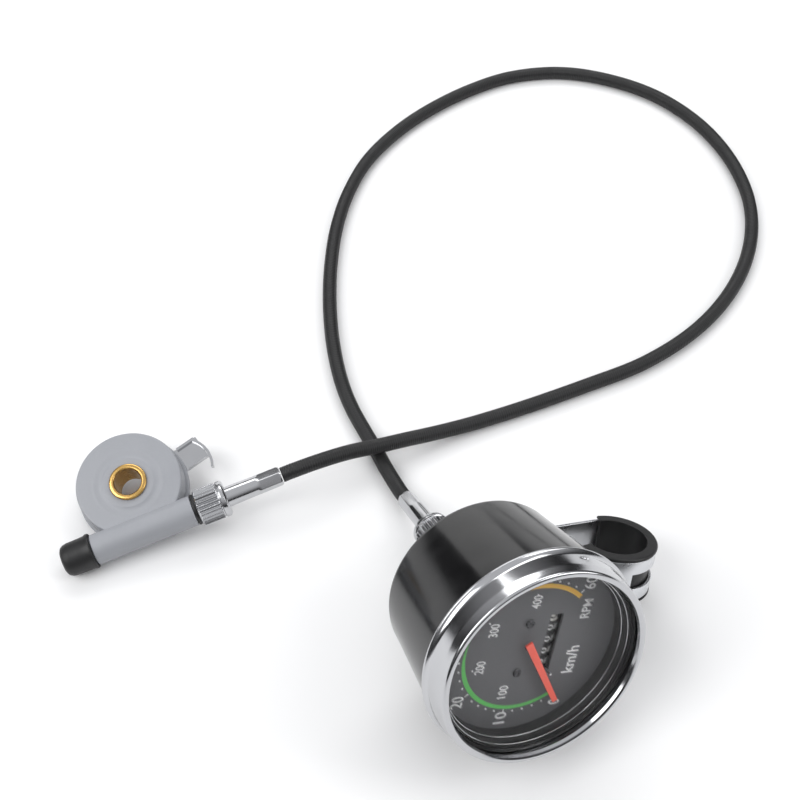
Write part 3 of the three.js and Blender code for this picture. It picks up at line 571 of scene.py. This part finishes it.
# %% Inner ring and its beads
ring_profile = [
    (32.7, 38.8), (32.7, 45.9), (32.4, 45.9), (32.25, 45.3), (31.85, 45), (31.7, 43), (31.5, 42.6),
    (31.1, 42.4), (31.05, 40.4), (31, 38.8),
]
finish_piece("dial_surround", spin_profile(ring_profile), gauge, ["dial_ring"], bevel=0.06)
for bead_name, radius, height in (("bead_upper", 32.0, 45.2), ("bead_lower", 31.25, 42.65)):
    bead_bm = spin_profile(arc(radius, height, 0.2, 0, 315, 7), steps=SPIN_STEPS)
    finish_piece(bead_name, bead_bm, gauge, [], finish="chrome_trim", body="base",
                 slot="chrome_trim", bevel=0)

# %% [markdown]
# ## The dial
# The dial is a flat grey plate. Its print is modelled as a film of paint with real thickness, so
# the numbers stay sharp from close by. Text objects are turned into meshes first, fitted to their
# size, and only then put in place. Speeds run clockwise from a start left of six o'clock.

# %% Dial measures
DIAL_Z = 38.5
FILM = 0.05
DIAL_START = 55.6
DEGREES_PER_KMH = 4.18
TOP_SPEED = 60
SCALE_RADIUS = 24.5


def dial_direction(speed):
    """The direction of a speed's mark from the dial's centre."""
    angle = math.radians(DIAL_START + DEGREES_PER_KMH * speed)
    return Vector((-math.sin(angle), -math.cos(angle), 0))


def text_mesh(text, width, height, thickness=FILM):
    """Letters as a closed bmesh, centred, of an exact width and height."""
    curve = bpy.data.curves.new("lettering", "FONT")
    curve.body = text
    curve.extrude = 0.5
    curve.offset = 0.012
    curve.resolution_u = 4
    letters = bpy.data.objects.new("lettering", curve)
    bpy.context.scene.collection.objects.link(letters)
    bpy.context.view_layer.update()
    mesh = bpy.data.meshes.new_from_object(letters.evaluated_get(bpy.context.evaluated_depsgraph_get()))
    bpy.data.objects.remove(letters)
    bm = bmesh.new()
    bm.from_mesh(mesh)
    low = Vector([min(v.co[i] for v in bm.verts) for i in range(3)])
    high = Vector([max(v.co[i] for v in bm.verts) for i in range(3)])
    size = high - low
    bmesh.ops.translate(bm, verts=bm.verts, vec=-(low + high) / 2)
    bmesh.ops.scale(bm, verts=bm.verts, vec=(width / size.x, height / size.y, thickness / size.z))
    return bm


def merge_into(target, part):
    """Adds one bmesh to another and frees it."""
    mesh = bpy.data.meshes.new("part")
    part.to_mesh(mesh)
    part.free()
    target.from_mesh(mesh)
    bpy.data.meshes.remove(mesh)


# %% Scale marks and lettering
FILM_Z = DIAL_Z + FILM / 2
white = bmesh.new()
for speed in range(0, TOP_SPEED + 1, 2):
    spot = dial_direction(speed) * SCALE_RADIUS
    mark = bmesh.new()
    if speed % 10:
        bmesh.ops.create_circle(mark, cap_ends=True, segments=14, radius=0.36)
    else:
        bmesh.ops.create_grid(mark, x_segments=1, y_segments=1, size=0.5)
        bmesh.ops.scale(mark, verts=mark.verts, vec=(1.5, 0.42, 1))
        turned(mark, math.atan2(spot.y, spot.x))
    bmesh.ops.solidify(mark, geom=mark.faces[:], thickness=FILM)
    merge_into(white, moved(mark, spot.x, spot.y, FILM_Z))

DIGIT_WIDTH = 2.1
DIGIT_HEIGHT = 4.3
DIGIT_GAP = 0.4
LABEL_RADIUS = 28.2
ZERO_INSET = 0.4
TEN_SHIFT = 1.2
for speed in range(0, TOP_SPEED + 1, 10):
    label = str(speed)
    spot = dial_direction(speed) * (LABEL_RADIUS - ZERO_INSET * (speed == 0))
    width = DIGIT_WIDTH * len(label) + DIGIT_GAP * (len(label) - 1)
    label_x = spot.x + TEN_SHIFT * (speed == 10)
    merge_into(white, moved(text_mesh(label, width, DIGIT_HEIGHT), label_x, spot.y, FILM_Z))

RPM_RADIUS = 19.8
RPM_INSET = 2.6
RPM_SPACING = 12.5
THREE_HUNDRED_SHIFT = 1.4
for step in range(1, 5):
    speed = RPM_SPACING * step
    direction = dial_direction(speed)
    dot = bmesh.new()
    bmesh.ops.create_circle(dot, cap_ends=True, segments=14, radius=0.34)
    bmesh.ops.solidify(dot, geom=dot.faces[:], thickness=FILM)
    merge_into(white, moved(dot, direction.x * RPM_RADIUS, direction.y * RPM_RADIUS, FILM_Z))
    spot = direction * (RPM_RADIUS - RPM_INSET)
    label_x = spot.x - THREE_HUNDRED_SHIFT * (step == 3)
    merge_into(white, moved(text_mesh(str(100 * step), 4.9, 3.3), label_x, spot.y, FILM_Z))

merge_into(white, moved(text_mesh("km/h", 10.4, 4.4), -6.4, -17.4, FILM_Z))
merge_into(white, moved(text_mesh("RPM", 7.2, 3.4), 13, -18, FILM_Z))
finish_piece("dial_print_white", white, gauge, [], finish="print_white", body="base",
             slot="dial_grey", bevel=0)
print("dial print is a film", FILM, "mm thick")

# %% [markdown]
# The two coloured arcs taper like brush strokes. Each starts as a flat grid that is bent round the
# dial: its length becomes an angle, and its width follows a rule for how thick the arc is there.

# %% Coloured arcs
ARC_RADIUS = 22.8


def tapered_arc(first, last, thickness, name, finish):
    """A printed arc between two speeds, with thickness(speed) in millimetres."""
    bm = bmesh.new()
    bmesh.ops.create_grid(bm, x_segments=64, y_segments=1, size=0.5)
    for vert in bm.verts:
        speed = first + (last - first) * (vert.co.x + 0.5)
        radius = ARC_RADIUS + vert.co.y * thickness(speed)
        vert.co = dial_direction(speed) * radius
    bmesh.ops.solidify(bm, geom=bm.faces[:], thickness=FILM)
    return finish_piece(name, moved(bm, z=FILM_Z), gauge, [], finish=finish, body="base",
                        slot="dial_grey", bevel=0)


GREEN_END = 33
THINNEST = 0.06


def green_thickness(speed):
    swell = 1.1 + 0.4 * min(1, speed / 22)
    taper = min(1, (GREEN_END - speed) / 9)
    return max(THINNEST, swell * taper ** 0.8)


AMBER_START = 45
AMBER_END = 60.6


def amber_thickness(speed):
    return max(THINNEST, 1.6 * min(1, (speed - AMBER_START) / 7) ** 0.8)


tapered_arc(0, GREEN_END, green_thickness, "dial_arc_green", "print_green")
tapered_arc(AMBER_START, AMBER_END, amber_thickness, "dial_arc_amber", "print_amber")

# %% Dial screws
SCREW_X = 9.2
SCREW_Y = 2
HEAD_TOP = 39.5
CROSS_TURN = 0.4
for side, x in (("left", -SCREW_X), ("right", SCREW_X)):
    head = [(0, 38.75), (1.5, 38.75), (1.5, 39.05), (1.2, 39.35), (0.6, 39.5), (0, 39.52)]
    head_bm = moved(spin_profile(head, closed=False, steps=32), x=x, y=SCREW_Y)
    screw = finish_piece(f"dial_screw_{side}_head", head_bm, gauge, [f"dial_screw_{side}"], bevel=0.05)
    for turn in (CROSS_TURN, CROSS_TURN + math.pi / 2):
        slot_bm = bmesh.new()
        bmesh.ops.create_cube(slot_bm, size=1)
        bmesh.ops.scale(slot_bm, verts=slot_bm.verts, vec=(2, 0.35, 0.6))
        carve(screw, moved(turned(slot_bm, turn), x=x, y=SCREW_Y, z=HEAD_TOP), gauge)

# %% [markdown]
# ## Needle
# The needle is a plain flat bar, blunt at both ends, painted bright orange. It is drawn as one
# face along x, thickened, turned to the zero mark, and its edges are rounded.

# %% Needle
NEEDLE_BOTTOM = 40.8
NEEDLE_THICKNESS = 0.7
needle = bmesh.new()
corners = [(-4.2, -1.3), (24.5, -0.95), (24.5, 0.95), (-4.2, 1.3)]
face = needle.faces.new([needle.verts.new((x, y, NEEDLE_BOTTOM)) for x, y in corners])
lifted = bmesh.ops.extrude_face_region(needle, geom=[face])["geom"]
top = [item for item in lifted if isinstance(item, bmesh.types.BMVert)]
bmesh.ops.translate(needle, verts=top, vec=(0, 0, NEEDLE_THICKNESS))
zero = dial_direction(0)
turned(needle, math.atan2(zero.y, zero.x))
finish_piece("needle", needle, gauge, ["pointer"], bevel=0.12, segments=3)

# %% [markdown]
# ## Number wheels
# Each wheel carries ten digits round its rim. A digit is sliced across into strips, then bent
# round the wheel, so the paint follows the curve when the wheel turns. The first wheel is white
# with black digits, the others black with white.

# %% Number wheels
WHEEL_RADIUS = 4.4
WHEEL_WIDTH = 4.4
WHEEL_Y = -7.582
WHEEL_Z = 32.2
WHEELS_RIGHT = 12
WHEEL_BODIES = ["units_wheel", "tens_wheel", "hundreds_wheel", "thousands_wheel", "ten_thousands_wheel"]


def digit_ring(centre_x):
    """Ten digits wrapped round a wheel whose axis is x."""
    ring = bmesh.new()
    for digit in range(10):
        glyph = text_mesh(str(digit), 2.1, 2.3, thickness=0.08)
        for cut in (-1, -0.5, 0, 0.5, 1):
            everything = glyph.verts[:] + glyph.edges[:] + glyph.faces[:]
            bmesh.ops.bisect_plane(glyph, geom=everything, plane_co=(0, cut, 0), plane_no=(0, 1, 0))
        for vert in glyph.verts:
            angle = vert.co.y / WHEEL_RADIUS - digit * TAU / 10
            radius = WHEEL_RADIUS + 0.02 + vert.co.z
            y = WHEEL_Y + radius * math.sin(angle)
            vert.co = (centre_x + vert.co.x, y, WHEEL_Z + radius * math.cos(angle))
        merge_into(ring, glyph)
    return ring


for place, body in enumerate(WHEEL_BODIES):
    right = WHEELS_RIGHT - place * WHEEL_WIDTH
    left = right - WHEEL_WIDTH + 0.3
    rim = [(1.2, left), (WHEEL_RADIUS - 0.02, left), (WHEEL_RADIUS - 0.02, right), (1.2, right)]
    wheel = along_x(spin_profile(rim, steps=64))
    node = f"number_wheel_{place + 1}"
    finish_piece(f"{node}_rim", moved(wheel, y=WHEEL_Y, z=WHEEL_Z), gauge, [node], bevel=0.08)
    ink = "black_plastic" if place == 0 else "print_white"
    finish_piece(f"{node}_digits", digit_ring((left + right) / 2), gauge, [], finish=ink, body=body,
                 slot=node_slot[node], bevel=0)
print("number wheels:", len(WHEEL_BODIES))

# %% [markdown]
# ## Back of the gauge and the clamp
# A threaded boss leaves the back of the case and carries a plain bracket under a six-sided nut.
# The clamp band is one strip of sheet metal: it runs from the rear ear round the handlebar and
# back to the front ear. So it is made as a strip, wound along that line, with the middle column
# of faces taken out where the real one is slotted, and the Solidify modifier gives it its gauge.

# %% Boss and bracket
boss_profile = [
    (2.5, -29), (4.5, -29), (4.9, -28.6), (4.9, -20), (6, -19.4), (6, -3.3), (11, -3.3),
    (11, -0.3), (6.5, -0.3), (6.5, 2.2), (2.5, 2.2),
]
finish_piece("rear_boss", spin_profile(boss_profile, steps=72), gauge, ["rear_connector"], bevel=0.2)
for node in ("bracket_nut", "mounting_bracket", "clamp_screw", "clamp_nut"):
    refine_node(node, bevel=0.25)

# %% Clamp band
BAR_RADIUS = 11.1
LINER_WALL = 2.2
BAND_INNER = BAR_RADIUS + LINER_WALL + 0.3
BAND_WALL = 1.1
BAND_MIDDLE = BAND_INNER + BAND_WALL / 2
REACH = 54.3
CENTRE_Z = 2.1
EAR_REACH = 25
BAND_HALF = 8
SLOT_HALF = 3
FRONT_EAR_Z = -5.2 - 0.3 - BAND_WALL / 2
BAND_STEPS = 54
SLOT_FROM = -42
SLOT_TO = 95
CORNER_STEPS = 5


def band_line():
    """(reach, z, in the slot) along the strip, from the rear ear round the bar to the front ear."""
    rear_z = CENTRE_Z - BAND_MIDDLE
    line = [(EAR_REACH, rear_z, False), (EAR_REACH + 12, rear_z, False), (REACH - 6, rear_z, False)]
    for i in range(BAND_STEPS + 1):
        degrees = -90 + 270 * i / BAND_STEPS
        t = math.radians(degrees)
        spot = (REACH + BAND_MIDDLE * math.cos(t), CENTRE_Z + BAND_MIDDLE * math.sin(t))
        line.append((*spot, SLOT_FROM < degrees < SLOT_TO))
    near = REACH - BAND_MIDDLE
    corner = 1.8
    line.append((near, FRONT_EAR_Z + corner, False))
    for i in range(1, CORNER_STEPS + 1):
        t = math.radians(90 * i / CORNER_STEPS)
        spot = (near - corner * (1 - math.cos(t)), FRONT_EAR_Z + corner * (1 - math.sin(t)))
        line.append((*spot, False))
    line.append((EAR_REACH, FRONT_EAR_Z, False))
    return line


def clamp_band():
    strip = bmesh.new()
    line = band_line()
    verts = [strip.verts.new((-BAND_HALF, -reach, z)) for reach, z, _ in line]
    edges = [strip.edges.new(pair) for pair in zip(verts, verts[1:])]
    for step in (BAND_HALF - SLOT_HALF, 2 * SLOT_HALF, BAND_HALF - SLOT_HALF):
        made = bmesh.ops.extrude_edge_only(strip, edges=edges)["geom"]
        fresh = [item for item in made if isinstance(item, bmesh.types.BMVert)]
        bmesh.ops.translate(strip, verts=fresh, vec=(step, 0, 0))
        new_edges = [item for item in made if isinstance(item, bmesh.types.BMEdge)]
        edges = [e for e in new_edges if all(v in fresh for v in e.verts)]
    slotted = [(reach, z) for reach, z, in_slot in line if in_slot]

    def in_slot(face):
        centre = face.calc_center_median()
        near = min((centre.y + reach) ** 2 + (centre.z - z) ** 2 for reach, z in slotted)
        return abs(centre.x) < SLOT_HALF and near < 0.75 ** 2

    bmesh.ops.delete(strip, geom=[f for f in strip.faces if in_slot(f)], context="FACES")
    bmesh.ops.recalc_face_normals(strip, faces=strip.faces)
    return strip


band = finish_piece("clamp_band_strip", clamp_band(), clamp, ["clamp_band"], bevel=0, recalc=False)
gauge_of_sheet = band.modifiers.new("sheet", "SOLIDIFY")
gauge_of_sheet.thickness = BAND_WALL * MM
gauge_of_sheet.offset = 0
edge_rounding = band.modifiers.new("edges", "BEVEL")
edge_rounding.width = 0.22 * MM
edge_rounding.segments = 3
edge_rounding.limit_method = "ANGLE"
edge_rounding.angle_limit = math.radians(40)
print("clamp band wall:", BAND_WALL, "mm")

# %% [markdown]
# The rubber liner goes three quarters of the way round the bar. Its lips stand proud over the
# band's edges, which is the thick black rim seen from outside. A profile across its width is spun
# part of a turn about the bar, and the two open ends are filled.

# %% Clamp liner
LIP_RADIUS = 14.9
LIP_INNER = BAND_HALF + 0.3
LIP_OUTER = LIP_INNER + 1.2
liner_profile = [
    (BAR_RADIUS, -LIP_OUTER), (LIP_RADIUS - 0.5, -LIP_OUTER),
    (LIP_RADIUS, -LIP_OUTER + 0.5), (LIP_RADIUS, -LIP_INNER),
    (BAND_INNER - 0.3, -LIP_INNER), (BAND_INNER - 0.3, LIP_INNER), (LIP_RADIUS, LIP_INNER),
    (LIP_RADIUS, LIP_OUTER - 0.5), (LIP_RADIUS - 0.5, LIP_OUTER), (BAR_RADIUS, LIP_OUTER),
]
LINER_FROM = -84
LINER_TO = 174
liner = spin_profile(liner_profile, angle=math.radians(LINER_TO - LINER_FROM), steps=72)
bmesh.ops.holes_fill(liner, edges=[e for e in liner.edges if e.is_boundary], sides=0)
turned(liner, math.radians(LINER_FROM))
stand = Matrix(((0, 0, -1), (-1, 0, 0), (0, 1, 0)))
bmesh.ops.transform(liner, matrix=stand, verts=liner.verts, space=Matrix.Identity(4))
finish_piece("clamp_liner_rubber", moved(liner, y=-REACH, z=CENTRE_Z), clamp, ["clamp_liner"], bevel=0.2)

# %% [markdown]
# ## Cable couplings
# Both ends of the cable have the same fittings: a fluted nut to turn by hand, and a long ferrule
# crimped on the sheath with six flats. The two are lofted rings, because flutes and flats can't be
# spun.

# %% Couplings
NUT_RADIUS = 7
FLUTES = 26


def coupling_nut():
    flute = fluted(NUT_RADIUS, 0.75, FLUTES)
    slim = round_outline(NUT_RADIUS - 0.55)
    collar = round_outline(NUT_RADIUS - 0.1)
    neck = round_outline(4.25)
    stations = [
        (-6, round_outline(5.3)), (-6, round_outline(NUT_RADIUS - 0.9)), (-5.5, slim), (-5.4, flute),
        (2.3, flute), (2.5, slim), (2.9, slim), (3.1, collar), (4.7, collar),
        (5.5, round_outline(NUT_RADIUS - 0.95)), (5.5, neck), (2.4, neck), (2.4, round_outline(5.3)),
    ]
    return loft(stations, FLUTES * 8)


def cable_ferrule():
    flats = faceted(3.75, 6)
    stations = [
        (0.3, round_outline(2.2)), (0.3, round_outline(4.9)), (1.9, round_outline(4.9)),
        (1.9, round_outline(3.9)), (17.2, round_outline(3.66)), (18.6, flats), (25.9, flats),
        (26.8, faceted(3.4, 6, 0.5)), (26.8, round_outline(2.2)),
    ]
    return loft(stations, 72)


SPIGOT_END_Z = -29
gauge_tail = gauge @ Matrix.Translation((0, 0, SPIGOT_END_Z)) @ Matrix.Rotation(math.pi, 4, "X")
TUBE_Y = -18.4
TUBE_Z = -3.4
TUBE_LEFT = -19.7
TUBE_RIGHT = 18.6
SPIGOT_LENGTH = 7.6
SPIGOT_RIGHT = TUBE_RIGHT + SPIGOT_LENGTH
SPIGOT_LEFT = TUBE_LEFT - SPIGOT_LENGTH
drive_end = Matrix.Translation((SPIGOT_RIGHT, TUBE_Y, TUBE_Z))
drive_tail = drive @ drive_end @ Matrix.Rotation(math.pi / 2, 4, "Y")
for end, place in (("gauge", gauge_tail), ("drive", drive_tail)):
    finish_piece(f"{end}_nut_fluted", coupling_nut(), place, [f"{end}_coupling_nut"], bevel=0.08)
    finish_piece(f"{end}_ferrule_crimped", cable_ferrule(), place, [f"{end}_ferrule"],
                 finish="chrome_trim", bevel=0.12)

# %% [markdown]
# ## Drive unit
# The housing is a moulded grey disc with a tube across its edge. The disc's face has a flat boss
# and a shallow ring, both turned. The tube lies half in front of the disc. Behind the disc sits
# the rotor that the wheel turns, slightly larger, so its rim shows all round.

# %% Housing disc and tube
disc_profile = [
    (6.3, 0.45), (9.2, 0.45), (9.7, 0.35), (10.3, 0.05), (11.4, -0.02), (12.4, 0.12),
    (13.2, 0.12), (14.2, -0.02), (18.6, 0), (19.3, -0.2), (19.65, -0.8), (19.65, -9),
    (16.9, -9), (16.9, -1.2), (6.3, -1.2),
]
finish_piece("housing_disc", spin_profile(disc_profile), drive, ["drive_housing"], bevel=0.15, segments=3)
tube_profile = [
    (2.5, SPIGOT_RIGHT), (4.5, SPIGOT_RIGHT), (4.9, SPIGOT_RIGHT - 0.4), (4.9, TUBE_RIGHT),
    (5.8, TUBE_RIGHT), (5.8, TUBE_LEFT), (4.9, TUBE_LEFT), (4.9, SPIGOT_LEFT + 0.4),
    (4.5, SPIGOT_LEFT), (3.5, SPIGOT_LEFT), (3.5, -16), (4.5, -16), (4.5, 16), (2.5, 16),
]
tube = moved(along_x(spin_profile(tube_profile, steps=80)), y=TUBE_Y, z=TUBE_Z)
finish_piece("housing_tube", tube, drive, ["drive_housing"], bevel=0.2, segments=3)

# %% [markdown]
# The disc and the tube are two closed pieces that overlap where they meet, and read as one
# moulding with a crisp line between them. The rotor, the bush and the washer are turned too.

# %% Rotor, bush and washer
rotor_profile = [
    (6.3, -11.5), (19.8, -11.5), (20.6, -11.3), (20.9, -10.9), (20.9, -10.1), (20.6, -9.6),
    (20, -9.5), (9.2, -9.5), (9.2, -1.6), (6.3, -1.6),
]
finish_piece("rotor_disc", spin_profile(rotor_profile), drive, ["rotor"], bevel=0.12)
bush_profile = [
    (5, 1.15), (5.35, 1.6), (6.3, 1.62), (6.75, 1.45), (6.95, 1.1), (6.95, 0.8), (6, 0.8),
    (6, -11.8), (5.3, -11.8), (5, -11.4),
]
finish_piece("axle_bush_turned", spin_profile(bush_profile, steps=96), drive, ["axle_bush"], bevel=0.08)
WASHER_NEAR = TUBE_RIGHT + 0.3
WASHER_FAR = TUBE_RIGHT + 1.3
washer_profile = [(5.2, WASHER_NEAR), (5.9, WASHER_NEAR), (5.9, WASHER_FAR), (5.2, WASHER_FAR)]
washer = moved(along_x(spin_profile(washer_profile, steps=64)), y=TUBE_Y, z=TUBE_Z)
finish_piece("tube_washer_ring", washer, drive, ["tube_washer"], bevel=0.12)

# %% [markdown]
# The rubber cap is pulled over the tube's other end. It has a flared mouth, a slightly waisted
# body and a domed end, like any thick dipped cap.

# %% End cap
CAP_MOUTH = TUBE_LEFT - 0.3
CAP_END = -31.8
cap_profile = [
    (0, SPIGOT_LEFT - 0.3), (5.2, SPIGOT_LEFT - 0.3), (5.2, CAP_MOUTH), (6.35, CAP_MOUTH),
    (6.7, CAP_MOUTH - 0.4), (6.68, CAP_MOUTH - 1.1), (6.35, CAP_MOUTH - 1.9), (6.25, CAP_MOUTH - 4),
    (6.2, CAP_END + 3.4), (5.95, CAP_END + 2), (5.3, CAP_END + 0.9), (4.2, CAP_END + 0.3),
    (2.6, CAP_END + 0.05), (0, CAP_END),
]
cap = moved(along_x(spin_profile(cap_profile, closed=False, steps=72)), y=TUBE_Y, z=TUBE_Z)
finish_piece("end_cap_rubber", cap, drive, ["end_cap"], bevel=0.15)

# %% Spoke fork and rivets
for node in ("spoke_fork", "fork_rivet_left", "fork_rivet_right"):
    refine_node(node, bevel=0.2)

# %% [markdown]
# ## Parts inside
# The movement and the gears are seen only through gaps. Their design meshes are right as they are,
# so they stay, and each takes the finish that the record names.

# %% Finishes of the design parts that stay
kept = [node for node in frame["nodes"].values() if not node.hide_render]
for node in kept:
    slot = finishes[node_slot[node.name]]
    if not node.material_slots:
        node.data.materials.append(slot)
    node.material_slots[0].link = "OBJECT"
    node.material_slots[0].material = slot
print("design parts that stay:", len(kept))

# %% [markdown]
# ## Floor and light
# A pale floor, a bright sky that darkens towards the horizon, three broad soft lamps and a low
# card behind. The dark band at the horizon is what gives chrome its contrast: metal shows only
# what it reflects.

# %% Floor
floor_bm = bmesh.new()
bmesh.ops.create_grid(floor_bm, x_segments=1, y_segments=1, size=3)
floor_mesh = bpy.data.meshes.new("floor")
floor_bm.to_mesh(floor_mesh)
floor_bm.free()
floor = bpy.data.objects.new("floor", floor_mesh)
bpy.context.scene.collection.objects.link(floor)
floor_pale = make_finish("floor_pale", (0.95, 0.95, 0.95), drift=0.01, rough=(0.75, 0.85), patch=6,
                         bump=0.01)
floor.data.materials.append(floor_pale)


# %% Sky
def build_sky():
    world = bpy.data.worlds.new("studio")
    bpy.context.scene.world = world
    world.use_nodes = True
    nodes, links = world.node_tree.nodes, world.node_tree.links
    coordinates = nodes.new("ShaderNodeTexCoord")
    split = nodes.new("ShaderNodeSeparateXYZ")
    ramp = nodes.new("ShaderNodeValToRGB")
    stops = ramp.color_ramp.elements
    stops[0].position = 0.0
    stops[0].color = (0.03, 0.03, 0.033, 1)
    stops[1].position = 0.9
    stops[1].color = (0.9, 0.91, 0.93, 1)
    for position, grey in ((0.16, 0.045), (0.35, 0.2), (0.6, 0.58)):
        stops.new(position).color = (grey, grey, grey * 1.03, 1)
    links.new(coordinates.outputs["Generated"], split.inputs[0])
    links.new(split.outputs["Z"], ramp.inputs["Fac"])
    links.new(ramp.outputs["Color"], nodes["Background"].inputs["Color"])
    nodes["Background"].inputs["Strength"].default_value = 0.8


build_sky()


# %% Lamps
def soft_lamp(name, place, size, power):
    data = bpy.data.lights.new(name, "AREA")
    data.shape = "RECTANGLE"
    data.size, data.size_y = size
    data.energy = power
    lamp = bpy.data.objects.new(name, data)
    lamp.location = place
    aim = Vector((0.02, 0.05, 0.02)) - Vector(place)
    lamp.rotation_euler = aim.to_track_quat("-Z", "Y").to_euler()
    lamp.visible_camera = False
    bpy.context.scene.collection.objects.link(lamp)


soft_lamp("key_lamp", (-0.75, -0.25, 0.85), (0.7, 0.9), 6.9)
soft_lamp("fill_lamp", (0.9, -0.1, 0.7), (0.35, 0.9), 3.4)
soft_lamp("top_lamp", (0.05, 0.9, 0.9), (1.2, 0.5), 5.2)
soft_lamp("back_card", (-0.3, 1.2, 0.16), (0.75, 0.3), 0.9)
bpy.context.scene.view_settings.view_transform = "Standard"

# %% Update the scene
bpy.context.view_layer.update()
